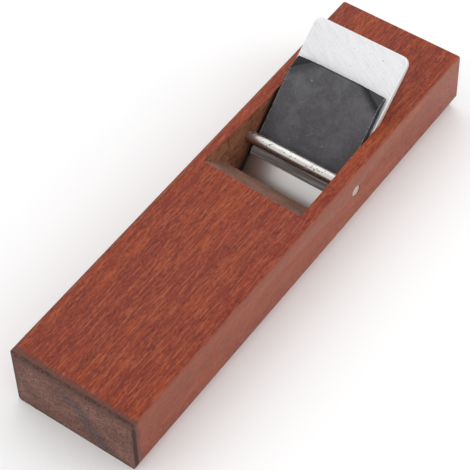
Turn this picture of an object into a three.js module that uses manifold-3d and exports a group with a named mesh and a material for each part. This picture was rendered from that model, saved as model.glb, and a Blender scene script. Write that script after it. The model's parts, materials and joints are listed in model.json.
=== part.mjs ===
// A wooden block hand plane: a hardwood body with a sloping bed, a thick plane iron,
// a chip breaker with two bent-down ears, and a steel cross pin through both cheeks.
// Millimetres, +Z up. The origin is the middle of the sole, the toe is at -Y and the heel
// at +Y, and the width runs along X.

import * as THREE from 'three';
import { mergeVertices } from 'three/addons/utils/BufferGeometryUtils.js';
import Module from 'manifold-3d';

// Body block.
const BODY_WIDTH = 68;
const BODY_LENGTH = 260;
const BODY_HEIGHT = 36;
const TOP_EASING = 1.1;
const SOLE_EASING = 1.0;
const TOE_EASING_ALONG = 1.0;
const TOE_EASING_DOWN = 2.0;
const TOE_CORNER_ACROSS = 1.8;
const TOE_CORNER_ALONG = 0.6;
const END_EASING = 1.0;

// The long chamfer where the right side (+X) meets the sole.
const CHAMFER_ACROSS = 3.2;
const CHAMFER_UP = 7.6;

// Throat: the open well in front of the bed, wider at the top than at the sole and cut a
// little to the left (-X) of the middle there.
const THROAT_FRONT_Y = 4;
const THROAT_TOP_LEFT = 28.6;
const THROAT_TOP_RIGHT = 26.9;
const THROAT_SOLE_HALF_WIDTH = 26.5;
const MOUTH_FRONT_Y = 19.5;
const RAMP_FOOT_Z = 21.4;

// Bed: the plane of the iron's upper face meets the sole at BED_LINE_Y.
const BED_ANGLE = THREE.MathUtils.degToRad(39);
const BED_LINE_Y = 20.5;

// Plane iron, sharpened on its under side.
const IRON_WIDTH = 52;
const IRON_LENGTH = 94.5;
const IRON_THICKNESS = 3.6;
const IRON_BEVEL_ANGLE = THREE.MathUtils.degToRad(25);
const IRON_CORNER_RADIUS = 4;
const IRON_SETBACK = 0.5;

// Chip breaker: a wedge-like plate whose head stands off the iron on its ears.
const BREAKER_WIDTH = 51;
const BREAKER_LENGTH = 53;
const BREAKER_THICKNESS = 2.2;
const BREAKER_SETBACK = 21.3;
const BREAKER_HEAD_LIFT = 2.5;
const BREAKER_BEVEL_LENGTH = 4.6;
const BREAKER_EDGE_THICKNESS = 0.3;
const EAR_ALONG_HEAD = 10;
const EAR_ALONG_SIDE = 7;
const EAR_BEND = THREE.MathUtils.degToRad(29);

// Cross pin.
const PIN_DIAMETER = 6;
const PIN_Y = 38.6;
const PIN_Z = 24;
const PIN_RECESS = 0.2;
const PIN_SEGMENTS = 48;

// Gap left between pieces that bear on each other.
const FIT_GAP = 0.3;
// How far a cutting tool runs past the face that it leaves.
const OVERRUN = 5;

const wasm = await Module();
wasm.setup();

/** The manifold solid of a closed three.js geometry. */
function solid(geometry) {
  const bare = geometry.clone();
  bare.deleteAttribute('normal');
  bare.deleteAttribute('uv');
  const merged = mergeVertices(bare, 1e-4);
  return new wasm.Manifold(new wasm.Mesh({
    numProp: 3,
    vertProperties: new Float32Array(merged.attributes.position.array),
    triVerts: new Uint32Array(merged.index.array),
  }));
}

/** The three.js geometry of a manifold solid, with flat facets. */
function geometryOf(manifold) {
  const mesh = manifold.getMesh();
  const indexed = new THREE.BufferGeometry();
  indexed.setAttribute('position', new THREE.BufferAttribute(mesh.vertProperties, 3));
  indexed.setIndex(new THREE.BufferAttribute(mesh.triVerts, 1));
  const flat = indexed.toNonIndexed();
  flat.computeVertexNormals();
  return flat;
}

/** A prism of a closed outline, extruded from 0 to depth along +Z. */
function prism(points, depth) {
  const shape = new THREE.Shape(points.map(([u, v]) => new THREE.Vector2(u, v)));
  return new THREE.ExtrudeGeometry(shape, { depth, bevelEnabled: false, curveSegments: 8 });
}

/** A prism whose outline is given in (y, z), centred on x = 0. */
function prismAlongX(points, width) {
  const turn = new THREE.Matrix4().makeBasis(
    new THREE.Vector3(0, 1, 0), new THREE.Vector3(0, 0, 1), new THREE.Vector3(1, 0, 0));
  return prism(points, width).translate(0, 0, -width / 2).applyMatrix4(turn);
}

/** A prism whose outline is given in (z, x), centred on y = 0. */
function prismAlongY(points, length) {
  const turn = new THREE.Matrix4().makeBasis(
    new THREE.Vector3(0, 0, 1), new THREE.Vector3(1, 0, 0), new THREE.Vector3(0, 1, 0));
  return prism(points, length).translate(0, 0, -length / 2).applyMatrix4(turn);
}

/** Turns bed coordinates (x across, s up the bed, h square to it) into the object's frame. */
const bedFrame = new THREE.Matrix4().makeTranslation(0, BED_LINE_Y, 0)
  .multiply(new THREE.Matrix4().makeRotationX(BED_ANGLE));

/** Where the plane at h square to the bed passes height z, as y. */
function bedPlaneY(z, h) {
  return BED_LINE_Y + z / Math.tan(BED_ANGLE) - h / Math.sin(BED_ANGLE);
}

/** The block with every edge eased: three prisms, one along each axis, in common. */
function easedBlock() {
  const halfWidth = BODY_WIDTH / 2;
  const halfLength = BODY_LENGTH / 2;
  const section = [
    [0, -halfWidth + SOLE_EASING],
    [SOLE_EASING, -halfWidth],
    [BODY_HEIGHT - TOP_EASING, -halfWidth],
    [BODY_HEIGHT, -halfWidth + TOP_EASING],
    [BODY_HEIGHT, halfWidth - TOP_EASING],
    [BODY_HEIGHT - TOP_EASING, halfWidth],
    [CHAMFER_UP, halfWidth],
    [0, halfWidth - CHAMFER_ACROSS],
  ];
  const profile = [
    [-halfLength + END_EASING, 0],
    [halfLength - SOLE_EASING, 0],
    [halfLength, SOLE_EASING],
    [halfLength, BODY_HEIGHT - END_EASING],
    [halfLength - END_EASING, BODY_HEIGHT],
    [-halfLength + TOE_EASING_ALONG, BODY_HEIGHT],
    [-halfLength, BODY_HEIGHT - TOE_EASING_DOWN],
    [-halfLength, END_EASING],
  ];
  const plan = [
    [-halfWidth + TOE_CORNER_ACROSS, -halfLength],
    [halfWidth - TOE_CORNER_ACROSS, -halfLength],
    [halfWidth, -halfLength + TOE_CORNER_ALONG],
    [halfWidth, halfLength - END_EASING],
    [halfWidth - END_EASING, halfLength],
    [-halfWidth + END_EASING, halfLength],
    [-halfWidth, halfLength - END_EASING],
    [-halfWidth, -halfLength + TOE_CORNER_ALONG],
  ];
  const alongLength = solid(prismAlongY(section, BODY_LENGTH));
  const alongWidth = solid(prismAlongX(profile, BODY_WIDTH));
  const upright = solid(prism(plan, BODY_HEIGHT));
  return alongLength.intersect(alongWidth).intersect(upright);
}

/** What is cut away for the throat: ramp, front wall, mouth and bed, between leaning cheeks. */
function throatCutter() {
  const bedHeight = -IRON_THICKNESS - FIT_GAP;
  const low = -OVERRUN;
  const high = BODY_HEIGHT + OVERRUN;
  const rampRise = (BODY_HEIGHT - RAMP_FOOT_Z) / (MOUTH_FRONT_Y - THROAT_FRONT_Y);
  const side = [
    [MOUTH_FRONT_Y, low],
    [bedPlaneY(low, bedHeight), low],
    [bedPlaneY(high, bedHeight), high],
    [THROAT_FRONT_Y - OVERRUN / rampRise, high],
    [MOUTH_FRONT_Y, RAMP_FOOT_Z],
  ];
  const reachAt = (atTop, z) =>
    THROAT_SOLE_HALF_WIDTH + (atTop - THROAT_SOLE_HALF_WIDTH) * z / BODY_HEIGHT;
  const cheeks = [
    [low, -reachAt(THROAT_TOP_LEFT, low)],
    [high, -reachAt(THROAT_TOP_LEFT, high)],
    [high, reachAt(THROAT_TOP_RIGHT, high)],
    [low, reachAt(THROAT_TOP_RIGHT, low)],
  ];
  return solid(prismAlongX(side, BODY_WIDTH)).intersect(solid(prismAlongY(cheeks, BODY_LENGTH)));
}

/** A round rod along X at the cross pin's place. */
function crossRod(radius, length) {
  return new THREE.CylinderGeometry(radius, radius, length, PIN_SEGMENTS)
    .rotateZ(Math.PI / 2).translate(0, PIN_Y, PIN_Z);
}

/** The hardwood block with its throat and the bore for the cross pin. */
function bodyGeometry() {
  const bore = solid(crossRod(PIN_DIAMETER / 2 + FIT_GAP, BODY_WIDTH + 2 * OVERRUN));
  return geometryOf(easedBlock().subtract(throatCutter()).subtract(bore));
}

/** The plane iron in bed coordinates, its edge IRON_SETBACK up from the sole. */
function ironGeometry() {
  const half = IRON_WIDTH / 2;
  const outline = new THREE.Shape();
  outline.moveTo(-half, 0);
  outline.lineTo(half, 0);
  outline.lineTo(half, IRON_LENGTH - IRON_CORNER_RADIUS);
  outline.absarc(half - IRON_CORNER_RADIUS, IRON_LENGTH - IRON_CORNER_RADIUS,
    IRON_CORNER_RADIUS, 0, Math.PI / 2, false);
  outline.absarc(-half + IRON_CORNER_RADIUS, IRON_LENGTH - IRON_CORNER_RADIUS,
    IRON_CORNER_RADIUS, Math.PI / 2, Math.PI, false);
  const blank = new THREE.ExtrudeGeometry(outline, {
    depth: IRON_THICKNESS,
    bevelEnabled: false,
    curveSegments: 6,
  }).translate(0, 0, -IRON_THICKNESS);
  const bevelLength = IRON_THICKNESS / Math.tan(IRON_BEVEL_ANGLE);
  const ground = prismAlongX([
    [0, 0],
    [-OVERRUN, 0],
    [-OVERRUN, -IRON_THICKNESS - OVERRUN],
    [bevelLength * (1 + OVERRUN / IRON_THICKNESS), -IRON_THICKNESS - OVERRUN],
  ], IRON_WIDTH + 2 * OVERRUN);
  return geometryOf(solid(blank).subtract(solid(ground)))
    .translate(0, IRON_SETBACK, 0).applyMatrix4(bedFrame);
}

/** One ear: the corner triangle of the plate, bent down about its fold on the upper face. */
function earGeometry(side) {
  const half = BREAKER_WIDTH / 2;
  const corner = new THREE.Vector3(side * half, BREAKER_LENGTH, 0);
  const foldHead = new THREE.Vector3(side * (half - EAR_ALONG_HEAD), BREAKER_LENGTH, 0);
  const foldSide = new THREE.Vector3(side * half, BREAKER_LENGTH - EAR_ALONG_SIDE, 0);
  const ring = side > 0 ? [foldHead, foldSide, corner] : [foldHead, corner, foldSide];
  const blank = prism(ring.map((point) => [point.x, point.y]), BREAKER_THICKNESS)
    .translate(0, 0, -BREAKER_THICKNESS);
  const fold = new THREE.Vector3().subVectors(foldSide, foldHead).normalize();
  const bend = new THREE.Matrix4().makeTranslation(foldHead.x, foldHead.y, 0)
    .multiply(new THREE.Matrix4().makeRotationAxis(fold, -side * EAR_BEND))
    .multiply(new THREE.Matrix4().makeTranslation(-foldHead.x, -foldHead.y, 0));
  return blank.applyMatrix4(bend);
}

/** The chip breaker in bed coordinates: a bevelled plate with both head corners bent down. */
function breakerGeometry() {
  const half = BREAKER_WIDTH / 2;
  const outline = [
    [-half, 0],
    [half, 0],
    [half, BREAKER_LENGTH - EAR_ALONG_SIDE],
    [half - EAR_ALONG_HEAD, BREAKER_LENGTH],
    [-half + EAR_ALONG_HEAD, BREAKER_LENGTH],
    [-half, BREAKER_LENGTH - EAR_ALONG_SIDE],
  ];
  const blank = prism(outline, BREAKER_THICKNESS).translate(0, 0, -BREAKER_THICKNESS);
  const bevelDrop = BREAKER_THICKNESS - BREAKER_EDGE_THICKNESS;
  const bevelRise = bevelDrop / BREAKER_BEVEL_LENGTH;
  const ground = prismAlongX([
    [-OVERRUN, -bevelDrop - OVERRUN * bevelRise],
    [BREAKER_BEVEL_LENGTH + OVERRUN, OVERRUN * bevelRise],
    [-OVERRUN, OVERRUN * bevelRise],
  ], BREAKER_WIDTH + 2 * OVERRUN);
  const plate = solid(blank).subtract(solid(ground))
    .add(solid(earGeometry(1)))
    .add(solid(earGeometry(-1)));
  const lift = Math.asin(BREAKER_HEAD_LIFT / BREAKER_LENGTH);
  return geometryOf(plate)
    .translate(0, 0, BREAKER_THICKNESS)
    .rotateX(lift)
    .translate(0, BREAKER_SETBACK, FIT_GAP)
    .applyMatrix4(bedFrame);
}

/** A named mesh with a finish of its own. */
function piece(name, geometry, color, roughness, metalness) {
  const mesh = new THREE.Mesh(geometry, new THREE.MeshStandardMaterial({ color, roughness, metalness }));
  mesh.name = name;
  return mesh;
}

const plane = new THREE.Group();
plane.add(piece('body', bodyGeometry(), 0x7d3b2a, 0.6, 0));
plane.add(piece('plane_iron', ironGeometry(), 0xd3d4d6, 0.3, 1));
plane.add(piece('chip_breaker', breakerGeometry(), 0x47474b, 0.5, 0.8));
plane.add(piece('cross_pin',
  crossRod(PIN_DIAMETER / 2, BODY_WIDTH - 2 * PIN_RECESS), 0xc9c6c2, 0.25, 1));

export default plane;
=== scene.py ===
"""Looks of a wooden block hand plane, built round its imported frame.

The block, the plane iron, the chip breaker and the cross pin each start as a primitive, are
shaped by edit-mode operators, dressed with procedural finishes, and ride on the frame's bodies.
Lengths are in metres. Y runs from the toe to the heel and Z is up from the sole.
"""

import json
import logging
import math
from dataclasses import dataclass, field
from enum import Enum
from typing import Callable, Dict, List, Optional, Sequence, Tuple, Union

import bpy
from mathutils import Matrix, Vector


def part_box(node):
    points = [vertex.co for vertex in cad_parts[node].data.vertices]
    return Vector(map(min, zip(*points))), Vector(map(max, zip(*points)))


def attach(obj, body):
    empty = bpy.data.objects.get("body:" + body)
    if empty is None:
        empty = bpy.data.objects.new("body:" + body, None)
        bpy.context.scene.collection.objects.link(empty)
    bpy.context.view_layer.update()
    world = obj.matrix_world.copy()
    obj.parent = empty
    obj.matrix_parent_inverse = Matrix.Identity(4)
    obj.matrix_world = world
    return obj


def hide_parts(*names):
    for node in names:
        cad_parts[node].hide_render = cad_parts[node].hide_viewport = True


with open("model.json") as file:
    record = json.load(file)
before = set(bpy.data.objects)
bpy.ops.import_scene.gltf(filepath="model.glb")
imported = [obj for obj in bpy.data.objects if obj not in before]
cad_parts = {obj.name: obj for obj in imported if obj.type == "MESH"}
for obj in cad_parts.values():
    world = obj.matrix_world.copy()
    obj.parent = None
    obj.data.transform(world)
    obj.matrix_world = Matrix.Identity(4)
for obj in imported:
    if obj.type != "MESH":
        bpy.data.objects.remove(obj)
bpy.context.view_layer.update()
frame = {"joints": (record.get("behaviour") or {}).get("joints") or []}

MM = 0.001
# How close to a face a place counts as on it, and the same where another edge is close by.
NEAR = 0.05 * MM
TOUCH = 0.01 * MM
LOG = logging.getLogger("hand_plane")

Colour = Tuple[float, float, float]
Triple = Tuple[float, float, float]
Spot = Tuple[float, float]
Test = Callable[[Vector], bool]
Settings = Optional[Dict[str, object]]


# ---------------------------------------------------------------------------------------------
# Shader maths


def operator(operation: str, reflected: bool = False) -> Callable[..., "Signal"]:
    """Make an operator of Signal that adds one Math node.

    Args:
        operation: The node's operation.
        reflected: Whether the signal is the second value.

    Returns:
        The method.
    """
    def method(signal: "Signal", *others: Union["Signal", float]) -> "Signal":
        """Add the node over the signal and the other value."""
        values = (*others, signal) if reflected else (signal, *others)
        settings = {"operation": operation}
        return signal.recipe.node("ShaderNodeMath", settings, dict(enumerate(values)))
    return method


class Signal:
    """A shader socket. Arithmetic on one adds Math nodes to its tree."""

    __add__ = operator("ADD")
    __radd__ = operator("ADD", reflected=True)
    __sub__ = operator("SUBTRACT")
    __rsub__ = operator("SUBTRACT", reflected=True)
    __mul__ = operator("MULTIPLY")
    __rmul__ = operator("MULTIPLY", reflected=True)
    __pow__ = operator("POWER")
    __abs__ = operator("ABSOLUTE")
    sine = operator("SINE")

    def __init__(self, recipe: "Recipe", socket: bpy.types.NodeSocket) -> None:
        """Wrap an output socket of a recipe's tree."""
        self.recipe = recipe
        self.socket = socket

    def step(self, low: float, high: float) -> "Signal":
        """A smooth rise from 0 at low to 1 at high, or a fall where low is the larger.

        Args:
            low: Where the result is 0.
            high: Where the result is 1.

        Returns:
            The stepped signal, between 0 and 1.
        """
        settings = {"interpolation_type": "SMOOTHSTEP"}
        if low < high:
            return self.recipe.node("ShaderNodeMapRange", settings, {0: self, 1: low, 2: high})
        return 1.0 - self.recipe.node("ShaderNodeMapRange", settings, {0: self, 1: high, 2: low})


class Recipe:
    """One material: a Principled shader whose colour is laid on in coats."""

    def __init__(self, name: str, tone: Colour) -> None:
        """Start a material.

        Args:
            name: The material's name.
            tone: The colour under all its coats.
        """
        self.tone: Union[Signal, Colour] = tone
        self.material = bpy.data.materials.new(name)
        self.material.use_nodes = True
        self.tree = self.material.node_tree
        self.tree.nodes.clear()
        self.shader = self.tree.nodes.new("ShaderNodeBsdfPrincipled")
        output = self.tree.nodes.new("ShaderNodeOutputMaterial")
        self.tree.links.new(self.shader.outputs["BSDF"], output.inputs["Surface"])

    def node(self, kind: str, settings: Settings = None,
             inputs: Optional[Dict[Union[int, str], object]] = None,
             out: Union[int, str] = 0) -> Signal:
        """Add any node.

        Args:
            kind: The node's type.
            settings: Its properties, which are set first.
            inputs: Values or signals for its sockets, by place or name.
            out: The output to give back.

        Returns:
            The chosen output as a signal.
        """
        made = self.tree.nodes.new(kind)
        for key, value in (settings or {}).items():
            setattr(made, key, value)
        for key, value in (inputs or {}).items():
            self._feed(made.inputs[key], value)
        return Signal(self, made.outputs[out])

    def _feed(self, socket: bpy.types.NodeSocket, value: object) -> None:
        """Link a signal to a socket, or set its value.

        Args:
            socket: The input socket.
            value: A signal, a number, a vector or a colour.
        """
        if isinstance(value, Signal):
            self.tree.links.new(value.socket, socket)
        elif isinstance(value, tuple) and socket.type == "RGBA":
            socket.default_value = (*value, 1.0)
        else:
            socket.default_value = value

    def shade(self, **values: object) -> bpy.types.Material:
        """Feed the shader.

        Args:
            values: Values or signals by socket name, with _ for each space.

        Returns:
            The finished material.
        """
        self._feed(self.shader.inputs["Base Color"], self.tone)
        for key, value in values.items():
            self._feed(self.shader.inputs[key.replace("_", " ")], value)
        return self.material

    def coat(self, mask: Union[Signal, float], colour: Colour) -> None:
        """Lay a colour over the tone, as thick as a mask from 0 to 1 says."""
        settings = {"data_type": "RGBA", "clamp_factor": True}
        self.tone = self.node("ShaderNodeMix", settings, {0: mask, 6: self.tone, 7: colour}, 2)

    def place(self, pitch: Triple, shift: Triple = (0.0, 0.0, 0.0), lean: float = 0.0,
              twist: float = 0.0) -> Signal:
        """Object coordinates, counted in cells of a given pitch.

        Args:
            pitch: The size of a cell along each axis, in millimetres.
            shift: How many cells the pattern is moved by.
            lean: The pattern's turn about X, in radians.
            twist: Its further turn about its own Z, in radians.

        Returns:
            The mapped coordinates.
        """
        vector = self.node("ShaderNodeTexCoord", out="Object")
        for angles in ((lean, 0.0, 0.0), (0.0, 0.0, twist)):
            if any(angles):
                vector = self.node("ShaderNodeMapping", {"vector_type": "POINT"},
                                   {"Vector": vector, "Rotation": angles})
        scale = tuple(1.0 / (MM * size) for size in pitch)
        return self.node("ShaderNodeMapping", {"vector_type": "POINT"},
                         {"Vector": vector, "Location": shift, "Scale": scale})

    def noise(self, where: Signal, detail: float = 2.0, roughness: float = 0.5,
              distortion: float = 0.0) -> Signal:
        """Fractal noise, about 0.5 on average, at one cell per unit."""
        return self.node("ShaderNodeTexNoise", None, {
            "Vector": where, "Scale": 1.0, "Detail": detail,
            "Roughness": roughness, "Distortion": distortion})

    def specks(self, where: Signal) -> Signal:
        """Distance to the nearest of a scatter of points, one per cell, in cells."""
        inputs = {"Vector": where, "Scale": 1.0, "Randomness": 1.0}
        return self.node("ShaderNodeTexVoronoi", {"feature": "F1"}, inputs, "Distance")

    def axes(self, shift: Triple = (0.0, 0.0, 0.0), lean: float = 0.0) -> List[Signal]:
        """The X, Y and Z of object coordinates in millimetres, leaned and then shifted."""
        split = self.node("ShaderNodeSeparateXYZ", None, {0: self.place((1.0, 1.0, 1.0), shift, lean)})
        return [Signal(self, output) for output in split.socket.node.outputs]

    def bed_axes(self, tilt: float, foot: Spot) -> List[Signal]:
        """Distances across, along and square to a sloping bed.

        Args:
            tilt: The bed's angle, in radians.
            foot: The point (y, z) that they start from, in millimetres.

        Returns:
            The three distances, in millimetres.
        """
        along = foot[0] * math.cos(tilt) + foot[1] * math.sin(tilt)
        over = foot[1] * math.cos(tilt) - foot[0] * math.sin(tilt)
        return self.axes((0.0, -along, -over), -tilt)

    def relief(self, height: Signal, depth: float, strength: float) -> Signal:
        """A normal from a height of 0 to 1, over a depth in millimetres."""
        inputs = {"Height": height, "Distance": depth * MM, "Strength": strength}
        return self.node("ShaderNodeBump", None, inputs, "Normal")


def spread(first: Signal, second: Signal) -> Signal:
    """The distance whose two square parts are given."""
    return (first ** 2.0 + second ** 2.0) ** 0.5


# ---------------------------------------------------------------------------------------------
# Finishes


@dataclass(frozen=True)
class LongGrain:
    """Planed long grain of an open-pored red hardwood, wiped with a thin oil.

    Places and sizes are in millimetres.

    Attributes:
        side: Where a side face starts, across.
        toe: The toe's place along the length.
        top: The height of the top face.
        band: The lower border of the painted sheen band.
        fleck: A small dark fleck's place (y, z) on the right side.
        deep: Colour of the dense summer wood.
        body: The usual colour.
        warm: Colour of the orange patches.
        pale: Colour of the light streaks.
        side_sheen: Colour of the painted sheen laid over the sides.
        sheen_band: Colour of the painted sheen, a paler band under the long top edges.
        stain: Colour where the toe has soaked up oil.
        polish: Roughness of the wood between its pores.
        name: The material's name.
    """

    side: float
    toe: float
    top: float
    band: float = 12.0
    fleck: Spot = (-110.2, 18.5)
    deep: Colour = (0.112, 0.009, 0.003)
    body: Colour = (0.222, 0.022, 0.004)
    warm: Colour = (0.290, 0.041, 0.004)
    pale: Colour = (0.420, 0.100, 0.034)
    side_sheen: Colour = (0.34, 0.18, 0.11)
    sheen_band: Colour = (0.255, 0.096, 0.064)
    stain: Colour = (0.090, 0.040, 0.029)
    polish: float = 0.40
    name: str = "planed_grain"

    def make(self) -> bpy.types.Material:
        """Build the material."""
        recipe = Recipe(self.name, self.body)
        place = recipe.place
        patches = recipe.noise(place((8.0, 60.0, 8.0)), 3.0, 0.55, 0.2)
        bands = recipe.noise(place((1.8, 90.0, 1.8), (3.1, 7.7, 1.3)), 3.0, 0.6)
        fibres = recipe.noise(place((0.62, 13.0, 0.62), (9.2, 2.4, 4.8)))
        lights = recipe.noise(place((0.7, 8.0, 0.7), (4.4, 8.1, 6.0)))
        vessels = recipe.noise(place((0.8, 2.4, 0.8), (1.7, 5.2, 2.9)), 3.0, 0.7)
        ragged = recipe.noise(place((1.5, 2.6, 1.5), (6.0, 3.0, 5.0)), 3.0, 0.65)
        x, y, z = recipe.axes()
        flank = abs(x).step(self.side - 0.1, self.side + 0.9)
        force = 1.0 - flank * 0.25
        pores = vessels.step(0.52, 0.68)
        # Painted sheen: a paler band over the upper part of each side, under the long top edge.
        sheen_band = flank * (z + ragged * 9.0).step(self.band, self.band + 26.0)
        foot = flank * (z + ragged * 3.0).step(13.0, 5.0)
        soaked = (y - self.toe - ragged * 8.0 + x * 0.022).step(0.2, -1.4)
        handled = (x + self.side).step(0.0, -0.5) * z.step(self.top - 1.6, self.top - 0.8)
        fleck = spread((y - self.fleck[0]) * 1.2, z - self.fleck[1]).step(0.75, 0.35)
        recipe.coat(patches.step(0.40, 0.62), self.warm)
        recipe.coat(bands.step(0.44, 0.64) * 0.4 * force, self.deep)
        recipe.coat(fibres.step(0.44, 0.62) * 0.55 * force, self.deep)
        recipe.coat(lights.step(0.50, 0.66) * 0.5 * force, self.pale)
        recipe.coat(pores * 0.5 * force, tuple(0.5 * part for part in self.deep))
        recipe.coat(vessels.step(0.47, 0.34) * 0.3 * force, self.pale)
        # Painted sheen: the sides are laid a little paler, standing in for the glancing reflection
        # they catch.
        recipe.coat(flank * 0.09, self.side_sheen)
        recipe.coat(sheen_band * 0.46, self.sheen_band)
        recipe.coat(foot * 0.35, self.deep)
        recipe.coat(soaked * 0.75, self.stain)
        recipe.coat(handled * 0.55, self.stain)
        recipe.coat(fleck * x.step(0.0, 1.0) * 0.8, self.stain)
        return recipe.shade(
            Roughness=self.polish + fibres * 0.14 + pores * 0.2,
            Normal=recipe.relief(1.0 - pores * 0.8 - fibres.step(0.45, 0.8) * 0.35, 0.06, 0.6),
            Specular_IOR_Level=0.32)


@dataclass(frozen=True)
class EndGrain:
    """Sawn and sanded end grain: dull, speckled with pores, with faint growth rings.

    Places (x, z) are in millimetres.

    Attributes:
        pith: The centre of the growth rings.
        knot: The small dark knot.
        streak: Where the weathered streak meets the sole, across.
        streak_lean: How far the streak leans to the left, per unit of height.
        dull: The usual colour.
        dark: Colour of the pores, also laid as a painted contact shadow along the sole edge.
        pink: Colour of the fresher wood between them.
        grey: Colour of the weathered streak.
        stain: Colour where the top edge has soaked up oil.
        polish: Roughness of the surface.
        name: The material's name.
    """

    pith: Spot = (18.0, -58.0)
    knot: Spot = (-22.8, 11.2)
    streak: float = 19.8
    streak_lean: float = 0.83
    dull: Colour = (0.165, 0.078, 0.058)
    dark: Colour = (0.062, 0.029, 0.023)
    pink: Colour = (0.250, 0.120, 0.092)
    grey: Colour = (0.100, 0.068, 0.072)
    stain: Colour = (0.115, 0.055, 0.040)
    polish: float = 0.66
    name: str = "sawn_end"

    def make(self) -> bpy.types.Material:
        """Build the material."""
        recipe = Recipe(self.name, self.dull)
        place = recipe.place
        cloud = recipe.noise(place((13.0, 60.0, 11.0), (2.0, 0.0, 5.0)), 3.0, 0.6, 0.5)
        grit = recipe.noise(place((0.9, 4.0, 0.9), (7.0, 1.0, 3.0)), 3.0, 0.7)
        pores = recipe.specks(place((1.15, 6.0, 1.15), (1.0, 2.0, 8.0))).step(0.42, 0.20)
        ragged = recipe.noise(place((2.0, 9.0, 2.0), (3.0, 5.0, 1.0)), 3.0, 0.6)
        drift = recipe.noise(place((26.0, 90.0, 26.0)), 1.0) * 14.0
        x, _, z = recipe.axes()
        reach = spread(x - self.pith[0], z - self.pith[1]) + drift
        rings = (reach * 1.5).sine()
        off_streak = abs(x + z * self.streak_lean - self.streak) + (cloud - 0.5) * 9.0
        off_knot = spread((x - self.knot[0]) * 0.5, (z - self.knot[1]) * 1.1) + ragged - 0.5
        recipe.coat(cloud.step(0.35, 0.7), self.pink)
        recipe.coat(off_streak.step(9.0, 2.0) * z.step(31.0, 25.0) * 0.8, self.grey)
        recipe.coat(rings.step(0.2, 1.0) * 0.2, self.dark)
        recipe.coat(grit.step(0.50, 0.62) * 0.7, self.dark)
        recipe.coat(grit.step(0.47, 0.34) * 0.6, self.pink)
        recipe.coat(pores * 0.6, self.dark)
        recipe.coat(off_knot.step(1.5, 0.6) * 0.6, self.dark)
        recipe.coat((z + ragged * 6.0 - x * 0.015).step(33.0, 35.4) * 0.75, self.stain)
        # Painted contact shadow: a dark line along the sole edge.
        recipe.coat((z + ragged * 2.0).step(2.6, 1.2) * 0.6, self.dark)
        return recipe.shade(
            Roughness=self.polish + grit * 0.2,
            Normal=recipe.relief(1.0 - pores * 0.7 - grit * 0.3, 0.09, 0.7),
            Specular_IOR_Level=0.3)


@dataclass(frozen=True)
class ChiselledWood:
    """Raw wood as a chisel leaves it, torn a little along the grain.

    Attributes:
        name: The material's name.
        tilt: The bed's angle, in radians.
        foot: Where the bed meets the sole along the length, in millimetres.
        shade: Colour in the hollows.
        body: The usual colour.
        dusty: Colour of the high spots.
        iron_shade: Colour of the painted shade on the wood beside the iron.
    """

    name: str
    tilt: float
    foot: float
    shade: Colour
    body: Colour
    dusty: Colour
    iron_shade: Colour = (0.022, 0.012, 0.009)

    def make(self) -> bpy.types.Material:
        """Build the material."""
        recipe = Recipe(self.name, self.body)
        place = recipe.place
        tears = recipe.noise(place((0.8, 3.6, 0.9), (2.0, 6.0, 1.0)), 4.0, 0.65, 0.6)
        chops = recipe.noise(place((2.2, 1.3, 10.0), lean=0.4), 2.0, 0.55)
        cloud = recipe.noise(place((9.0, 16.0, 9.0)))
        grit = recipe.specks(place((1.6, 3.0, 1.4), (5.0, 1.0, 2.0)))
        _, _, over = recipe.bed_axes(self.tilt, (self.foot, 0.0))
        recipe.coat(cloud.step(0.35, 0.7), self.dusty)
        recipe.coat(chops.step(0.5, 0.75) * 0.55, self.dusty)
        recipe.coat(tears.step(0.48, 0.68) * 0.8, self.shade)
        recipe.coat(grit.step(0.28, 0.12) * 0.7, self.shade)
        # Painted shade: the wood darkens within a few millimetres of the bed, beside the iron.
        recipe.coat((over + tears * 2.0).step(6.5, 1.5) * 0.9, self.iron_shade)
        return recipe.shade(
            Roughness=0.72 + tears * 0.15,
            Normal=recipe.relief(1.0 - tears * 0.7 + chops * 0.3, 0.25, 0.7),
            Specular_IOR_Level=0.25)


@dataclass(frozen=True)
class EasedEdge:
    """A corner rubbed down with the grain, slightly burnished by handling.

    Attributes:
        dark: The darker colour, laid over most of the upright corners and in flecks and patches.
        body: The usual colour.
        ragged: How ragged the dark wood's border is, in millimetres.
        upright: The height under which the edge is an upright corner, in millimetres.
        name: The material's name.
    """

    dark: Colour = (0.050, 0.018, 0.014)
    body: Colour = (0.120, 0.054, 0.040)
    ragged: float = 1.4
    upright: float = 34.5
    name: str = "toe_corner"

    def make(self) -> bpy.types.Material:
        """Build the material."""
        recipe = Recipe(self.name, self.dark)
        grit = recipe.noise(recipe.place((self.ragged,) * 3, (3.0, 1.0, 2.0)), 4.0, 0.65)
        fine = recipe.noise(recipe.place((0.6, 2.0, 0.6), (5.0, 2.0, 7.0)), 3.0, 0.6)
        _, _, z = recipe.axes()
        recipe.coat(grit.step(0.36, 0.62), self.body)
        recipe.coat(fine.step(0.55, 0.75) * 0.5, self.dark)
        recipe.coat((z + grit * 3.0).step(self.upright, self.upright - 2.0) * 0.85, self.dark)
        return recipe.shade(
            Roughness=0.55 + fine * 0.2,
            Normal=recipe.relief(fine, 0.05, 0.5),
            Specular_IOR_Level=0.3)


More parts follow.
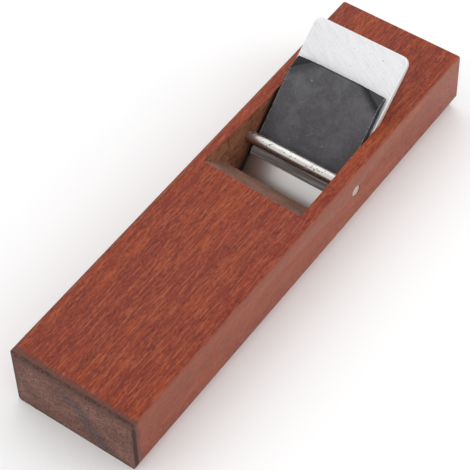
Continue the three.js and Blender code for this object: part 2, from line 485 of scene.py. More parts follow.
@dataclass(frozen=True)
class IronSteel:
    """Forged and ground laminated steel: hard steel on the flat face, soft iron behind it.

    Attributes:
        tilt: The bed's angle, in radians.
        edge: The cutting edge's place (y, z), in millimetres.
        length: The iron's length, in millimetres.
        layer: Thickness of the hard steel, in millimetres.
        hard: Colour of the hard steel.
        soft: Colour of the soft iron.
        worn: Colour of the honed face at the cutting end.
        brushed: Colour in the brushing lines of the head.
        nick: Colour of the small marks on the head.
        name: The material's name.
    """

    tilt: float
    edge: Spot
    length: float
    layer: float = 1.1
    hard: Colour = (0.82, 0.82, 0.83)
    soft: Colour = (0.62, 0.59, 0.57)
    worn: Colour = (0.60, 0.585, 0.57)
    brushed: Colour = (0.60, 0.61, 0.63)
    nick: Colour = (0.30, 0.30, 0.31)
    name: str = "iron_steel"

    def make(self) -> bpy.types.Material:
        """Build the material."""
        recipe = Recipe(self.name, self.soft)
        place, lie = recipe.place, -self.tilt
        brushing = recipe.noise(place((0.7, 12.0, 0.7), (1.0, 2.0, 0.0), lie, -1.1), 4.0, 0.7)
        faint = recipe.noise(place((1.2, 16.0, 1.2), (4.0, 1.0, 0.0), lie, 0.2), 3.0, 0.6)
        cloud = recipe.noise(place((8.0, 8.0, 8.0), lean=lie), 4.0, 0.65)
        nicks = recipe.specks(place((3.1, 4.4, 3.0), (3.0, 1.0, 0.0), lie))
        scuffs = recipe.noise(place((1.6, 1.9, 1.6), (5.0, 2.0, 0.0), lie), 3.0, 0.65)
        _, along, depth = recipe.bed_axes(self.tilt, self.edge)
        head = along.step(self.length * 0.42, self.length * 0.62)
        weld = (depth + (cloud - 0.5) * 0.7).step(-self.layer - 0.08, -self.layer + 0.08)
        recipe.coat(weld, self.hard)
        recipe.coat((1.0 - head) * 0.85, self.worn)
        recipe.coat(brushing.step(0.44, 0.68) * head * 0.34, self.brushed)
        recipe.coat(scuffs.step(0.50, 0.70) * head * 0.22, self.brushed)
        recipe.coat(nicks.step(0.12, 0.05) * head * 0.6, self.nick)
        return recipe.shade(
            Metallic=1.0,
            Roughness=0.29 + head * 0.17 + brushing * head * 0.2 + faint * 0.04 + (1.0 - weld) * 0.12,
            Normal=recipe.relief((brushing + cloud * 0.3) * head + faint * 0.1, 0.03, 0.6))


@dataclass(frozen=True)
class BluedSteel:
    """Dark forge scale, rubbed lighter on the flat, with painted shade on the ear folds and the
    chamfered flanks, a painted highlight inside the flanks and a dark line along the head.

    Attributes:
        tilt: The bed's angle, in radians.
        foot: Where the bed meets the sole along the length, in millimetres.
        head: The plate's head, up the bed from its foot, in millimetres.
        half: Half the plate's width, in millimetres.
        fold: How far a fold starts from the corner, along the head and down the side.
        flank: Width of the chamfered sides, in millimetres.
        scale: The usual colour.
        rubbed: Colour where the scale is worn.
        dense: Colour of the painted shade on the ear folds and the flanks, also of the dark line along
            the head.
        scratch_and_glint: Colour of a scratch, also of the painted highlight inside the flanks.
        name: The material's name.
    """

    tilt: float
    foot: float
    head: float
    half: float
    fold: Spot
    flank: float
    scale: Colour = (0.073, 0.070, 0.076)
    rubbed: Colour = (0.130, 0.127, 0.134)
    dense: Colour = (0.008, 0.007, 0.009)
    scratch_and_glint: Colour = (0.40, 0.40, 0.41)
    name: str = "blued_scale"

    def make(self) -> bpy.types.Material:
        """Build the material."""
        recipe = Recipe(self.name, self.scale)
        place, lie = recipe.place, -self.tilt
        cloud = recipe.noise(place((9.0, 9.0, 9.0), lean=lie), 4.0, 0.62, 0.4)
        grain = recipe.noise(place((1.1, 1.1, 1.1), (4.0, 1.0, 3.0), lie), 4.0, 0.65)
        scratch = recipe.noise(place((0.8, 9.0, 1.0), (7.0, 3.0, 0.0), lie, 0.75))
        chips = recipe.specks(place((6.5, 6.5, 6.5), (2.0, 5.0, 1.0), lie)).step(0.085, 0.03)
        across, along, _ = recipe.bed_axes(self.tilt, (self.foot, 0.0))
        from_head, from_side = (part / math.hypot(*self.fold) for part in self.fold)
        left = across.step(0.0, -1.0)
        past = (abs(across) - (self.half - self.fold[0])) * from_side
        past = past + (along - self.head) * from_head + (cloud - 0.5) * 1.2 + left * 0.8
        inner = self.half - self.flank
        # Painted shade: the chamfered flanks are laid dark.
        rim = (abs(across) + (grain - 0.5) * 0.3).step(inner, inner + 0.2)
        # Painted highlight: a thin light line along the inner border of each flank.
        edge_glint = abs(abs(across) - (inner - 0.1)).step(0.28, 0.08) * grain.step(0.4, 0.6)
        brow = (along + (grain - 0.5) * 0.8).step(self.head - 0.9, self.head - 0.5)
        recipe.coat(cloud.step(0.40, 0.72) * 0.7, self.rubbed)
        recipe.coat(grain.step(0.46, 0.70) * 0.5, self.rubbed)
        recipe.coat(scratch.step(0.70, 0.78) * 0.2 + chips * 0.4, self.scratch_and_glint)
        # Painted shade on the ears: a broad dark band along each fold, the left ear darker than the
        # right, and the right ear partly back to plain scale.
        recipe.coat(past.step(-4.6, -0.8) * (0.92 - left * 0.45), self.dense)
        recipe.coat(past.step(-0.4, 0.5) * left * 0.9, self.dense)
        recipe.coat(past.step(-0.3, 0.5) * (1.0 - left) * 0.5, self.scale)
        recipe.coat(edge_glint * 0.5, self.scratch_and_glint)
        recipe.coat(rim * 0.8, self.dense)
        recipe.coat(brow * 0.75, self.dense)
        return recipe.shade(
            Metallic=0.0,
            Roughness=0.55 + cloud * 0.12 + grain * 0.1,
            Normal=recipe.relief(grain * 0.7 + cloud * 0.4 - chips * 0.3, 0.06, 0.6),
            Specular_IOR_Level=0.25)


@dataclass(frozen=True)
class GroundSteel:
    """Steel ground on a wheel, with fine lines that run across the width.

    Attributes:
        tilt: The angle of the ground face, in radians.
        bright: The usual colour.
        dull: Colour in the grinding lines.
        name: The material's name.
    """

    tilt: float
    bright: Colour = (0.58, 0.57, 0.565)
    dull: Colour = (0.22, 0.215, 0.212)
    name: str = "ground_bevel"

    def make(self) -> bpy.types.Material:
        """Build the material."""
        recipe = Recipe(self.name, self.bright)
        lie = -self.tilt
        lines = recipe.noise(recipe.place((26.0, 0.8, 0.8), (1.0, 4.0, 2.0), lie), 3.0, 0.7)
        cloud = recipe.noise(recipe.place((6.0, 6.0, 6.0), lean=lie))
        recipe.coat(lines.step(0.42, 0.60), self.dull)
        recipe.coat(cloud.step(0.4, 0.7) * 0.4, self.dull)
        return recipe.shade(
            Metallic=0.2,
            Roughness=0.42 + lines * 0.2,
            Normal=recipe.relief(lines, 0.04, 0.7))


@dataclass(frozen=True)
class RodSteel:
    """Drawn steel rod with small pits.

    Attributes:
        name: The material's name.
        bright: The usual colour.
        pitted: Colour in the pits.
        sheen: Roughness between the pits.
    """

    name: str
    bright: Colour
    pitted: Colour
    sheen: float

    def make(self) -> bpy.types.Material:
        """Build the material."""
        recipe = Recipe(self.name, self.bright)
        draw = recipe.noise(recipe.place((14.0, 0.4, 0.4)), 3.0, 0.6)
        where = recipe.noise(recipe.place((5.0, 5.0, 5.0), (2.0, 0.0, 0.0)), 1.0).step(0.34, 0.50)
        pits = recipe.specks(recipe.place((1.5, 1.2, 1.2), (4.0, 1.0, 1.0))).step(0.34, 0.18) * where
        recipe.coat(draw.step(0.45, 0.7) * 0.35, self.pitted)
        recipe.coat(pits * 0.8, self.pitted)
        return recipe.shade(
            Metallic=1.0,
            Roughness=self.sheen + draw * 0.1 + pits * 0.3,
            Normal=recipe.relief(1.0 - pits, 0.12, 0.8))


# ---------------------------------------------------------------------------------------------
# Bench work


class Part(Enum):
    """What an edit-mode selection takes."""

    FACES = "FACE"
    EDGES = "EDGE"
    POINTS = "VERT"


class Workpiece:
    """One mesh on the bench, with the operators that shape it."""

    def __init__(self, name: str) -> None:
        """Take up the primitive that was just added, and name it."""
        self.object = bpy.context.object
        self.object.name = name
        self.object.data.name = name
        self.body = ""
        self.settle()

    @classmethod
    def block(cls, name: str, low: Vector, high: Vector) -> "Workpiece":
        """Start from a block.

        Args:
            name: The piece's name.
            low: The block's lowest corner.
            high: Its highest corner.

        Returns:
            The block as a workpiece.
        """
        bpy.ops.object.select_all(action="DESELECT")
        bpy.ops.mesh.primitive_cube_add(size=1.0, location=(low + high) / 2)
        bpy.context.object.scale = high - low
        return cls(name)

    @classmethod
    def rod(cls, name: str, centre: Vector, radius: float, length: float,
            sides: int) -> "Workpiece":
        """Start from a round rod along X.

        Args:
            name: The piece's name.
            centre: The rod's middle.
            radius: Its radius.
            length: Its length.
            sides: How many sides the round has.

        Returns:
            The rod as a workpiece.
        """
        bpy.ops.object.select_all(action="DESELECT")
        bpy.ops.mesh.primitive_cylinder_add(
            vertices=sides, radius=radius, depth=length, location=centre,
            rotation=(0.0, math.pi / 2, 0.0))
        return cls(name)

    def take(self) -> None:
        """Make this the one selected, active object."""
        bpy.ops.object.select_all(action="DESELECT")
        self.object.select_set(True)
        bpy.context.view_layer.objects.active = self.object

    def settle(self) -> None:
        """Put the object's place, turn and size into its mesh."""
        self.take()
        bpy.ops.object.transform_apply(location=True, rotation=True, scale=True)

    def move(self, matrix: Matrix) -> None:
        """Carry the mesh to another place by a move, a turn or both."""
        self.object.matrix_world = matrix
        bpy.context.view_layer.update()
        self.settle()

    def pick(self, part: Part, test: Test) -> int:
        """Select part of the mesh by place and open it in edit mode.

        Args:
            part: Whether faces, edges or points are picked.
            test: Whether a place counts: a face's or edge's middle, or a point.

        Returns:
            How many were picked.
        """
        self.take()
        bpy.ops.object.mode_set(mode="EDIT")
        bpy.ops.mesh.select_mode(type=part.value)
        bpy.ops.mesh.select_all(action="DESELECT")
        bpy.ops.object.mode_set(mode="OBJECT")
        mesh = self.object.data
        points = mesh.vertices
        if part is Part.FACES:
            places = [(face, face.center) for face in mesh.polygons]
        elif part is Part.EDGES:
            places = [(edge, sum((points[end].co for end in edge.vertices), Vector()) / 2)
                      for edge in mesh.edges]
        else:
            places = [(point, point.co) for point in points]
        for item, place in places:
            item.select = test(place)
        chosen = sum(item.select for item, _ in places)
        bpy.ops.object.mode_set(mode="EDIT")
        return chosen

    def close(self) -> None:
        """Leave edit mode."""
        bpy.ops.object.mode_set(mode="OBJECT")

    def ease(self, test: Test, width: float, steps: int = 2) -> None:
        """Bevel the edges at chosen places.

        Args:
            test: Whether an edge's middle counts.
            width: The bevel's width.
            steps: How many facets it has.
        """
        if self.pick(Part.EDGES, test):
            bpy.ops.mesh.bevel(offset=width, segments=steps, profile=0.5, affect="EDGES")
        self.close()

    def saw(self, point: Vector, normal: Vector, drop: bool = True) -> None:
        """Cut across with a plane.

        Args:
            point: A point of the plane.
            normal: Its normal, towards the waste.
            drop: Whether the waste is cut off and the cut closed.
        """
        self.take()
        bpy.ops.object.mode_set(mode="EDIT")
        bpy.ops.mesh.select_all(action="SELECT")
        bpy.ops.mesh.bisect(plane_co=point, plane_no=normal.normalized(),
                            use_fill=drop, clear_outer=drop)
        self.close()

    def shift(self, test: Test, offset: Vector) -> None:
        """Move the points that pass a test by an offset."""
        if self.pick(Part.POINTS, test):
            bpy.ops.transform.translate(value=offset)
        self.close()

    def _modify(self, kind: str, **settings: object) -> None:
        """Add a modifier with its settings, and apply it."""
        self.take()
        modifier = self.object.modifiers.new(kind.lower(), kind)
        for key, value in settings.items():
            setattr(modifier, key, value)
        bpy.ops.object.modifier_apply(modifier=modifier.name)

    def cut(self, cutter: "Workpiece") -> None:
        """Take another workpiece's shape out of this one, and use the cutter up."""
        self._modify("BOOLEAN", operation="DIFFERENCE", solver="EXACT", object=cutter.object)
        bpy.data.objects.remove(cutter.object)

    def soften(self, width: float, steps: int, angle: float) -> None:
        """Round every edge sharper than an angle.

        Args:
            width: The rounding's width.
            steps: How many facets it has.
            angle: The least angle that is rounded, in degrees.
        """
        self._modify("BEVEL", width=width, segments=steps, limit_method="ANGLE",
                     angle_limit=math.radians(angle), use_clamp_overlap=True)

    def finish(self, angle: float) -> None:
        """Merge doubles, turn faces outwards and smooth the shallow edges.

        Args:
            angle: Edges up to this angle are smooth, in degrees.
        """
        self.take()
        bpy.ops.object.mode_set(mode="EDIT")
        bpy.ops.mesh.select_all(action="SELECT")
        bpy.ops.mesh.remove_doubles(threshold=0.001 * MM)
        bpy.ops.mesh.normals_make_consistent(inside=False)
        bpy.ops.object.mode_set(mode="OBJECT")
        bpy.ops.object.shade_smooth_by_angle(angle=math.radians(angle))

    def dress(self, materials: Sequence[bpy.types.Material],
              choose: Callable[[bpy.types.MeshPolygon], int]) -> None:
        """Give each face its material.

        Args:
            materials: The materials, in slot order.
            choose: The slot for a face.
        """
        mesh = self.object.data
        mesh.materials.clear()
        for material in materials:
            mesh.materials.append(material)
        for face in mesh.polygons:
            face.material_index = choose(face)

    def mount(self, body: str, node: str, slot: str) -> None:
        """Hand the piece to the frame.

        Args:
            body: The body that it rides on.
            node: The node that it stands for.
            slot: The record's material slot; not used.
        """
        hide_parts(node)
        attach(self.object, body)
        self.body = body

    def report(self) -> None:
        """Log the piece's name, its size in triangles and its body."""
        triangles = sum(len(face.vertices) - 2 for face in self.object.data.polygons)
        LOG.info("%s: %d triangles, on body %s", self.object.name, triangles, self.body)


@dataclass
class Bed:
    """The sloping bed, and the frame that lies on it: x across, y up the bed, z square to it.

    Attributes:
        angle: The bed's angle to the sole, in radians.
        foot: Where the iron's flat face would meet the sole, along the length.
    """

    angle: float
    foot: float

    @classmethod
    def from_frame(cls) -> "Bed":
        """Read the bed from the iron's joint and the iron's box."""
        joint = next(j for j in frame["joints"] if j["child"] == "iron")
        angle = math.atan2(joint["axis"][2], joint["axis"][1])
        low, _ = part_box("plane_iron")
        return cls(angle=angle, foot=low.y - low.z / math.tan(angle))

    def matrix(self) -> Matrix:
        """The matrix from bed coordinates to the object's."""
        place = Matrix.Translation((0.0, self.foot, 0.0))
        return place @ Matrix.Rotation(self.angle, 4, "X")

    def plane_y(self, height: float, depth: float) -> float:
        """Where a plane at a depth under the iron's flat face passes a height over the sole."""
        return self.foot + height / math.tan(self.angle) + depth / math.sin(self.angle)


# ---------------------------------------------------------------------------------------------
# Sub-assemblies


class Side(Enum):
    """The two sides of the width."""

    LEFT = -1
    RIGHT = 1


@dataclass
class Throat:
    """The well in front of the bed, with its ramp, front wall and leaning cheeks.

    Attributes:
        front: Where the ramp starts on the top face, in the middle.
        back: Where the cheeks end on the top face.
        skew: How much nearer the toe the ramp starts, per unit of distance to the right.
        wall: The front wall's place, at the mouth.
        ramp_foot: The height where the ramp meets the front wall.
        front_reach: How far the left and right cheeks are from the middle on top, in front.
        back_reach: How far they are behind.
        sole_half: Half the width at the sole.
        overrun: How far a cutter runs past a face.
        stroke: The distance between chisel strokes.
        slant: How much a stroke leans, per unit of height.
        depth: How deep a stroke is.
        shallow: How deep every third stroke is, as a share of that.
        cheek_share: Where a cutter's cheeks are looked for, as a share of half the sole's width.
        lap: How far behind the wall the ramp's cutter has its foot.
        lap_back: How far behind the wall that cutter ends.
    """

    front: float = 4.0 * MM
    back: float = 65.0 * MM
    skew: float = 0.039
    wall: float = 19.5 * MM
    ramp_foot: float = 21.4 * MM
    front_reach: Spot = (29.1 * MM, 27.0 * MM)
    back_reach: Spot = (27.5 * MM, 26.4 * MM)
    sole_half: float = 26.5 * MM
    overrun: float = 5.0 * MM
    stroke: float = 4.3 * MM
    slant: float = 0.35
    depth: float = 0.12 * MM
    shallow: float = 0.3
    cheek_share: float = 0.9
    lap: float = 1.5 * MM
    lap_back: float = 4.0 * MM

    def reach(self, side: Side, y: float, share: float) -> float:
        """How far a cheek is from the middle.

        Args:
            side: Which cheek.
            y: The place along the length.
            share: The height, as a share of the block's.

        Returns:
            The distance.
        """
        index = 0 if side is Side.LEFT else 1
        along = (y - self.front) / (self.back - self.front)
        on_top = self.front_reach[index] + (self.back_reach[index] - self.front_reach[index]) * along
        return self.sole_half + (on_top - self.sole_half) * share

    def _wedge(self, name: str, corners: Sequence[Spot], height: float,
               skew: float = 0.0) -> Workpiece:
        """A cutter whose side is a four-cornered outline and whose cheeks lean.

        Args:
            name: The cutter's name.
            corners: Low front, low back, high back and high front, as (y, z).
            height: The block's height.
            skew: How much nearer the toe the front is, per unit of distance to the right.

        Returns:
            The cutter.
        """
        cutter = Workpiece.block(name, Vector((-1.0, -1.0, -1.0)), Vector((1.0, 1.0, 1.0)))
        signs = [(-1, -1), (1, -1), (1, 1), (-1, 1)]
        for side in Side:
            for (y_sign, z_sign), (y, z) in zip(signs, corners):
                start = Vector((side.value, y_sign, z_sign))
                goal = Vector((side.value * self.reach(side, y, z / height), y, z))
                if y_sign == -1:
                    goal.y -= skew * goal.x
                cutter.shift(lambda co, at=start: (co - at).length < TOUCH, goal - start)
        return cutter

    def _chop(self, cutter: Workpiece, low: float, high: float) -> None:
        """Facet a cutter's cheeks, so that it leaves slanting chisel strokes.

        Args:
            cutter: The cutter.
            low: Where the strokes start along the length.
            high: Where they end.
        """
        normal = Vector((0.0, 1.0, self.slant)).normalized()
        inside = self.sole_half * self.cheek_share
        for step in range(1, int((high - low) / self.stroke) + 1):
            point = Vector((0.0, low + step * self.stroke, 0.0))
            cutter.saw(point, normal, drop=False)
            stroke = self.depth * (1.0 if step % 3 else self.shallow)
            for side in Side:
                cutter.shift(
                    lambda co, sign=side.value, at=point: (
                        abs((co - at).dot(normal)) < TOUCH and co.x * sign > inside),
                    Vector((-side.value * stroke, 0.0, 0.0)))

    def cut(self, block: Workpiece, bed: "Bed", height: float, seat: float) -> None:
        """Cut the throat out of the block.

        Args:
            block: The block.
            bed: The bed.
            height: The block's height.
            seat: How far the bed is under the iron's flat face.
        """
        low, high = -self.overrun, height + self.overrun
        rise = (height - self.ramp_foot) / (self.wall - self.front)
        well = self._wedge("well", [
            (self.wall, low), (bed.plane_y(low, seat), low),
            (bed.plane_y(high, seat), high), (self.wall, high)], height)
        self._chop(well, self.wall, self.back)
        block.cut(well)
        lap, inside = self.wall + self.lap, self.wall + self.lap_back
        foot = self.ramp_foot - (lap - self.wall) * rise
        ramp = self._wedge("ramp", [
            (lap, foot), (inside, foot), (inside, high),
            (self.front - self.overrun / rise, high)], height, self.skew)
        self._chop(ramp, self.front, self.wall)
        block.cut(ramp)


class Wood(Enum):
    """The woods that the block shows, by material slot."""

    PLANED = 0
    END = 1
    WELL = 2
    CORNER = 3
    RAMP = 4


@dataclass
class Block:
    """The hardwood body.

    Attributes:
        top_ease: Width of the easing along the long top edges.
        sole_ease: Width of the easing along the left sole edge.
        end_ease: Width of the easing round the heel.
        chamfer: The right sole edge's chamfer at the toe, across and up.
        chamfer_growth: How much taller the chamfer is at the heel.
        corner_across: How far the toe's upright corners are eased across.
        corner_along: How far they are eased along the sides.
        toe_along: How far the toe's top chamfer reaches along the top.
        toe_down: How far it reaches down the end.
        arris: Width of the rounding left on every cut edge.
        seat: How far the bed is under the iron's flat face.
        bore_play: How much wider than the pin its bore is, on the radius.
        bore_cutter: Length of the rod that cuts the bore.
        bore_sides: How many sides the bore's round has.
        well_margins: How far the cut surfaces stay from a side, the toe and the heel.
        ramp_facing: How far up and back a face looks, at least, to be the ramp.
        corner_facing: How far sideways and along a face looks to be an eased corner.
        toe_facing: How far up it looks to be the toe's top chamfer.
        end_facing: How far along the length it looks to be end grain.
        throat: The well that is cut in it.
    """

    top_ease: float = 1.2 * MM
    sole_ease: float = 1.0 * MM
    end_ease: float = 1.0 * MM
    chamfer: Spot = (2.7 * MM, 6.4 * MM)
    chamfer_growth: float = 2.3 * MM
    corner_across: float = 1.8 * MM
    corner_along: float = 0.6 * MM
    toe_along: float = 1.0 * MM
    toe_down: float = 2.0 * MM
    arris: float = 0.28 * MM
    seat: float = 3.75 * MM
    bore_play: float = 0.04 * MM
    bore_cutter: float = 81.6 * MM
    bore_sides: int = 64
    well_margins: Triple = (2.5 * MM, 6.0 * MM, 3.0 * MM)
    ramp_facing: float = 0.3
    corner_facing: float = 0.12
    toe_facing: float = 0.2
    end_facing: float = 0.7
    throat: Throat = field(default_factory=Throat)

    def build(self, bed: Bed) -> Workpiece:
        """Make the block, cut its throat and pin bore, and dress it.

        Args:
            bed: The bed that the throat follows.

        Returns:
            The finished block.
        """
        low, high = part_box("body")
        block = Workpiece.block("body_block", low, high)
        block.saw(Vector((0.0, low.y, high.z - self.toe_down)),
                  Vector((0.0, -self.toe_down, self.toe_along)))
        for side in Side:
            block.saw(Vector((side.value * high.x, low.y + self.corner_along, 0.0)),
                      Vector((side.value * self.corner_along, -self.corner_across, 0.0)))
        across, up = self.chamfer
        lean = across / up
        block.saw(Vector((high.x - across, low.y, low.z)),
                  Vector((1.0, lean * self.chamfer_growth / (high.y - low.y), -lean)))
        block.ease(lambda co: abs(abs(co.x) - high.x) < NEAR and abs(co.z - high.z) < NEAR,
                   self.top_ease, steps=3)
        block.ease(lambda co: abs(co.x - low.x) < NEAR and abs(co.z - low.z) < NEAR,
                   self.sole_ease, steps=3)
        block.ease(lambda co: abs(co.y - high.y) < NEAR, self.end_ease, steps=3)
        self.throat.cut(block, bed, high.z - low.z, self.seat)
        pin_low, pin_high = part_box("cross_pin")
        radius = (pin_high.z - pin_low.z) / 2 + self.bore_play
        centre = (pin_low + pin_high) / 2
        block.cut(Workpiece.rod("bore", centre, radius, self.bore_cutter, self.bore_sides))
        block.soften(self.arris, steps=2, angle=32.0)
        block.finish(angle=28.0)
        block.dress(self._woods(bed, low, high), lambda face: self._wood(face, low, high).value)
        block.mount("block", "body", "body_wood")
        return block

    def _woods(self, bed: Bed, low: Vector, high: Vector) -> List[bpy.types.Material]:
        """Make the block's finishes.

        Args:
            bed: The bed that the iron lies on.
            low: The block's lowest corner.
            high: Its highest corner.

        Returns:
            The materials, in the order of Wood.
        """
        foot = bed.foot / MM
        finishes = [
            LongGrain(side=(high.x - self.top_ease) / MM, toe=low.y / MM, top=high.z / MM),
            EndGrain(),
            ChiselledWood("chiselled_well", bed.angle, foot, shade=(0.055, 0.018, 0.008),
                          body=(0.200, 0.066, 0.030), dusty=(0.255, 0.105, 0.055)),
            EasedEdge(),
            ChiselledWood("pared_ramp", bed.angle, foot, shade=(0.085, 0.038, 0.025),
                          body=(0.170, 0.080, 0.056), dusty=(0.225, 0.115, 0.084))]
        return [finish.make() for finish in finishes]

    def _wood(self, face: bpy.types.MeshPolygon, low: Vector, high: Vector) -> Wood:
        """Which wood a face shows, by where it is and which way it looks.

        Args:
            face: The face.
            low: The block's lowest corner.
            high: Its highest corner.

        Returns:
            The wood.
        """
        place, normal = face.center, face.normal
        side, toe, heel = self.well_margins
        across = abs(place.x) < high.x - side
        along = low.y + toe < place.y < high.y - heel
        if across and along and low.z + TOUCH < place.z < high.z - 2.0 * TOUCH:
            return Wood.RAMP if min(normal.y, normal.z) > self.ramp_facing else Wood.WELL
        corner = min(abs(normal.x), abs(normal.y)) > self.corner_facing
        if place.y < low.y + self.corner_across and (corner or normal.z > self.toe_facing):
            return Wood.CORNER
        return Wood.END if abs(normal.y) > self.end_facing else Wood.PLANED


@dataclass
class PlaneIron:
    """The plane iron: a thick plate with round head corners, bevelled on its under side.

    Attributes:
        thickness: The plate's thickness.
        bevel: The sharpening angle, in degrees.
        corner: Radius of the head's corners.
        arris: Width of the rounding on the edges that aren't sharp.
        keen: How far from the cutting edge the rounding starts.
        head_reach: How far from the head the under side's edges are rounded.
    """

    thickness: float = 3.6 * MM
    bevel: float = 25.0
    corner: float = 4.0 * MM
    arris: float = 0.35 * MM
    keen: float = 1.0 * MM
    head_reach: float = 4.8 * MM

    def build(self, bed: Bed) -> Workpiece:
        """Make, place and dress the iron.

        Args:
            bed: The bed that it lies on.

        Returns:
            The finished iron.
        """
        low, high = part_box("plane_iron")
        half = (high.x - low.x) / 2
        start = low.z / math.sin(bed.angle)
        end = high.z / math.sin(bed.angle)
        iron = Workpiece.block("plane_iron_blade", Vector((-half, start, -self.thickness)),
                               Vector((half, end, 0.0)))
        slope = math.radians(self.bevel)
        iron.saw(Vector((0.0, start, 0.0)), Vector((0.0, -math.sin(slope), -math.cos(slope))))
        iron.ease(lambda co: abs(abs(co.x) - half) < NEAR and abs(co.y - end) < NEAR,
                  self.corner, steps=8)
        iron.ease(lambda co: co.y > start + self.keen and (
            co.z > -NEAR or (co.z < NEAR - self.thickness and co.y > end - self.head_reach)),
            self.arris, steps=3)
        iron.move(bed.matrix())
        iron.finish(angle=30.0)
        steel = IronSteel(bed.angle, edge=(low.y / MM, low.z / MM), length=(end - start) / MM)
        iron.dress([steel.make()], lambda face: 0)
        iron.mount("iron", "plane_iron", "iron_steel")
        return iron


@dataclass
class ChipBreaker:
    """The chip breaker: a dark plate with a ground front bevel and two bent-down ears.

    Attributes:
        width: The plate's width.
        length: Its length.
        thickness: Its thickness.
        setback: How far its front edge is up the bed from the sole.
        rest: How far its front edge is over the iron's face.
        head_lift: How far the head's under side stands off the iron.
        bevel_length: The ground bevel's length.
        edge_thickness: What the bevel leaves at the front edge.
        ear_head: Where an ear's fold starts, in from the corner along the head.
        ear_side: Where it ends, down from the corner along the side.
        ear_bend: How far an ear is bent, in degrees.
        fold_steps: How many strokes the fold is made in.
        fold_pitch: The distance between them.
        arris: Width of the rounding on the head's edge.
        flank: Width of the chamfer along its sides.
        bevel_top: The height that the ground bevel stays under.
        bevel_match: How well a face has to agree with the bevel's direction to be part of it.
    """

    width: float = 51.0 * MM
    length: float = 53.0 * MM
    thickness: float = 2.2 * MM
    setback: float = 21.3 * MM
    rest: float = 0.3 * MM
    head_lift: float = 2.5 * MM
    bevel_length: float = 4.6 * MM
    edge_thickness: float = 0.3 * MM
    ear_head: float = 10.0 * MM
    ear_side: float = 7.0 * MM
    ear_bend: float = 29.0
    fold_steps: int = 7
    fold_pitch: float = 0.6 * MM
    arris: float = 0.3 * MM
    flank: float = 0.8 * MM
    bevel_top: float = 24.0 * MM
    bevel_match: float = 0.985

    def _bend_ear(self, plate: Workpiece, side: Side) -> None:
        """Bend one head corner down about its fold.

        Args:
            plate: The flat plate.
            side: Which ear.
        """
        half, top = self.width / 2, self.thickness
        head = Vector((side.value * (half - self.ear_head), self.length, top))
        foot = Vector((side.value * half, self.length - self.ear_side, top))
        fold = (foot - head).normalized() * side.value
        out = Vector((0.0, 0.0, 1.0)).cross(fold)
        lie = Matrix((
            (fold.x, out.x, 0.0, head.x), (fold.y, out.y, 0.0, head.y),
            (fold.z, out.z, 1.0, head.z), (0.0, 0.0, 0.0, 1.0)))
        plate.move(lie.inverted())
        middle = (self.fold_steps - 1) / 2
        places = [(step - middle) * self.fold_pitch for step in range(self.fold_steps)]
        for place in places:
            plate.saw(Vector((0.0, place, 0.0)), Vector((0.0, 1.0, 0.0)), drop=False)
        share = math.radians(self.ear_bend) / self.fold_steps
        for place in reversed(places):
            plate.pick(Part.POINTS, lambda co, y=place + TOUCH: co.y > y)
            bpy.ops.transform.rotate(value=share, orient_axis="X",
                                     center_override=(0.0, place, 0.0))
            plate.close()
        plate.move(lie)

    def build(self, bed: Bed) -> Workpiece:
        """Make, bend, place and dress the chip breaker.

        Args:
            bed: The bed that its iron lies on.

        Returns:
            The finished chip breaker.
        """
        half = self.width / 2
        plate = Workpiece.block("chip_breaker_plate", Vector((-half, 0.0, 0.0)),
                                Vector((half, self.length, self.thickness)))
        drop = self.thickness - self.edge_thickness
        plate.saw(Vector((0.0, 0.0, self.edge_thickness)), Vector((0.0, -drop, self.bevel_length)))
        on_top = self.thickness - NEAR
        plate.ease(lambda co: co.z > on_top and abs(co.x) > half - NEAR, self.flank, steps=1)
        plate.ease(lambda co: co.z > on_top and co.y > self.length - NEAR, self.arris, steps=2)
        for side in Side:
            self._bend_ear(plate, side)
        lift = math.asin(self.head_lift / self.length)
        seat = bed.matrix() @ Matrix.Translation((0.0, self.setback, self.rest))
        plate.move(seat @ Matrix.Rotation(lift, 4, "X"))
        plate.finish(angle=24.0)
        scale = BluedSteel(
            tilt=bed.angle, foot=bed.foot / MM, head=(self.setback + self.length) / MM,
            half=half / MM, fold=(self.ear_head / MM, self.ear_side / MM), flank=self.flank / MM)
        slope = bed.angle + lift + math.atan2(drop, self.bevel_length)
        facing = Vector((0.0, -math.sin(slope), math.cos(slope)))
        plate.dress([scale.make(), GroundSteel(slope).make()], lambda face: int(
            face.normal.dot(facing) > self.bevel_match and face.center.z < self.bevel_top))
        plate.mount("breaker", "chip_breaker", "breaker_steel")
        return plate


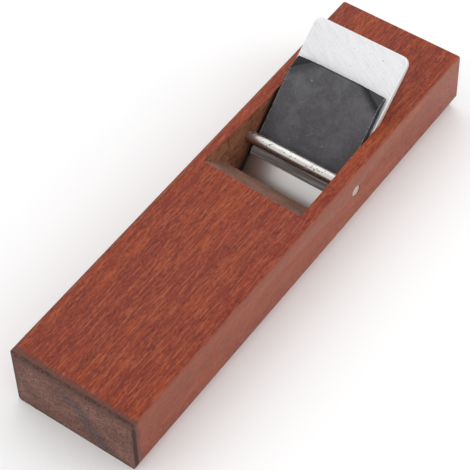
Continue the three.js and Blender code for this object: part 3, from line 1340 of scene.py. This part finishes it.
@dataclass
class CrossPin:
    """The steel rod through both cheeks, its ends filed flush and slightly domed.

    Attributes:
        chamfer: Width of the chamfer at each end.
        dome: How far each end stands out in the middle.
        rim: Width of the ring round the dome's flat.
        end_facing: How far sideways a face looks, at least, to be a filed end.
        sides: How many sides its round has.
    """

    chamfer: float = 0.35 * MM
    dome: float = 0.12 * MM
    rim: float = 0.9 * MM
    end_facing: float = 0.5
    sides: int = 64

    def build(self) -> Workpiece:
        """Make and dress the pin.

        Returns:
            The finished pin.
        """
        low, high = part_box("cross_pin")
        radius = (high.z - low.z) / 2
        centre = (low + high) / 2
        pin = Workpiece.rod("cross_pin_rod", centre, radius, high.x - low.x, self.sides)
        pin.ease(lambda co: abs(abs(co.x) - high.x) < TOUCH, self.chamfer, steps=3)
        for side in Side:
            pin.pick(Part.FACES, lambda co, x=side.value * high.x: abs(co.x - x) < TOUCH)
            bpy.ops.mesh.inset(thickness=self.rim)
            bpy.ops.transform.translate(value=(side.value * self.dome, 0.0, 0.0))
            pin.close()
        pin.finish(angle=35.0)
        rod = RodSteel("drawn_rod", bright=(0.66, 0.64, 0.62), pitted=(0.26, 0.24, 0.22), sheen=0.24)
        end = RodSteel("filed_end", bright=(0.60, 0.52, 0.47), pitted=(0.34, 0.27, 0.23), sheen=0.42)
        pin.dress([rod.make(), end.make()], lambda face: int(
            abs(face.normal.x) > self.end_facing))
        pin.mount("block", "cross_pin", "pin_steel")
        return pin


@dataclass(frozen=True)
class Softbox:
    """A square soft lamp that looks at the aim point.

    Attributes:
        name: The lamp's name.
        place: Where it hangs.
        size: Its side.
        power: Its power, in watts.
    """

    name: str
    place: Triple
    size: float
    power: float


@dataclass
class Studio:
    """The pale floor, the soft lights and the camera.

    Attributes:
        azimuth: The camera's direction round the object, in degrees.
        elevation: Its height over the horizon, in degrees.
        distance: Its distance from the aim point.
        roll: How far it leans, in degrees.
        aim: The aim point.
        lens: Its focal length, in millimetres.
        sensor: Its sensor's width, in millimetres.
        clip: The nearest and the farthest distance that it shows.
        sky: Strength of the even white light all round.
        floor_size: The floor's side.
        floor_tone: The floor's colour.
        lamps: The lamps.
    """

    azimuth: float = 37.33
    elevation: float = 51.21
    distance: float = 0.9026
    roll: float = -2.08
    aim: Triple = (0.0, -0.011, 0.018)
    lens: float = 149.6
    sensor: float = 36.0
    clip: Spot = (0.05, 20.0)
    sky: float = 0.97
    floor_size: float = 6.0
    floor_tone: Colour = (0.93, 0.93, 0.93)
    lamps: Tuple[Softbox, ...] = (
        Softbox("softbox_high", (-0.9, 0.5, 1.5), 1.6, 5.0),
        Softbox("softbox_right", (1.1, 0.8, 0.55), 0.9, 5.0))

    def _stand(self, data: bpy.types.ID, place: Vector) -> bpy.types.Object:
        """Put a camera or a lamp in the scene, turned to the aim point.

        Args:
            data: The camera or the lamp.
            place: Where it stands.

        Returns:
            Its object.
        """
        item = bpy.data.objects.new(data.name, data)
        bpy.context.scene.collection.objects.link(item)
        item.location = place
        item.rotation_mode = "QUATERNION"
        item.rotation_quaternion = (Vector(self.aim) - place).to_track_quat("-Z", "Y")
        return item

    def _camera(self) -> None:
        """Stand the camera at the viewing angle."""
        data = bpy.data.cameras.new("camera")
        data.lens = self.lens
        data.sensor_width = self.sensor
        data.clip_start, data.clip_end = self.clip
        turn, rise = math.radians(self.azimuth), math.radians(self.elevation)
        back = Vector((
            math.sin(turn) * math.cos(rise), -math.cos(turn) * math.cos(rise), math.sin(rise)))
        camera = self._stand(data, Vector(self.aim) + back * self.distance)
        lean = Matrix.Rotation(math.radians(self.roll), 3, "Z")
        level = camera.rotation_quaternion.to_matrix()
        camera.rotation_quaternion = (level @ lean).to_quaternion()
        bpy.context.scene.camera = camera

    def _floor(self) -> None:
        """Lay the pale floor."""
        bpy.ops.object.select_all(action="DESELECT")
        bpy.ops.mesh.primitive_grid_add(x_subdivisions=2, y_subdivisions=2, size=self.floor_size)
        floor = bpy.context.object
        floor.name = "floor"
        recipe = Recipe("pale_floor", self.floor_tone)
        floor.data.materials.append(recipe.shade(Roughness=0.9, Specular_IOR_Level=0.1))

    def _hang(self, box: Softbox) -> None:
        """Hang one softbox, turned to the aim point."""
        data = bpy.data.lights.new(box.name, "AREA")
        data.size = box.size
        data.energy = box.power
        self._stand(data, Vector(box.place))

    def _surround(self) -> None:
        """Fill the surroundings with even white light."""
        world = bpy.data.worlds.new("studio")
        world.use_nodes = True
        background = world.node_tree.nodes["Background"]
        background.inputs["Color"].default_value = (1.0, 1.0, 1.0, 1.0)
        background.inputs["Strength"].default_value = self.sky
        bpy.context.scene.world = world

    def build(self) -> None:
        """Set up the camera, the floor and the lights, and show colours with no film curve."""
        self._camera()
        bpy.context.scene.view_settings.view_transform = "Standard"
        self._floor()
        self._surround()
        for box in self.lamps:
            self._hang(box)


def main() -> None:
    """Build every sub-assembly in order."""
    logging.basicConfig(level=logging.INFO, format="%(name)s: %(message)s")
    Studio().build()
    bed = Bed.from_frame()
    pieces = [Block().build(bed), PlaneIron().build(bed), ChipBreaker().build(bed), CrossPin().build()]
    for piece in pieces:
        piece.report()


if __name__ == "__main__":
    main()
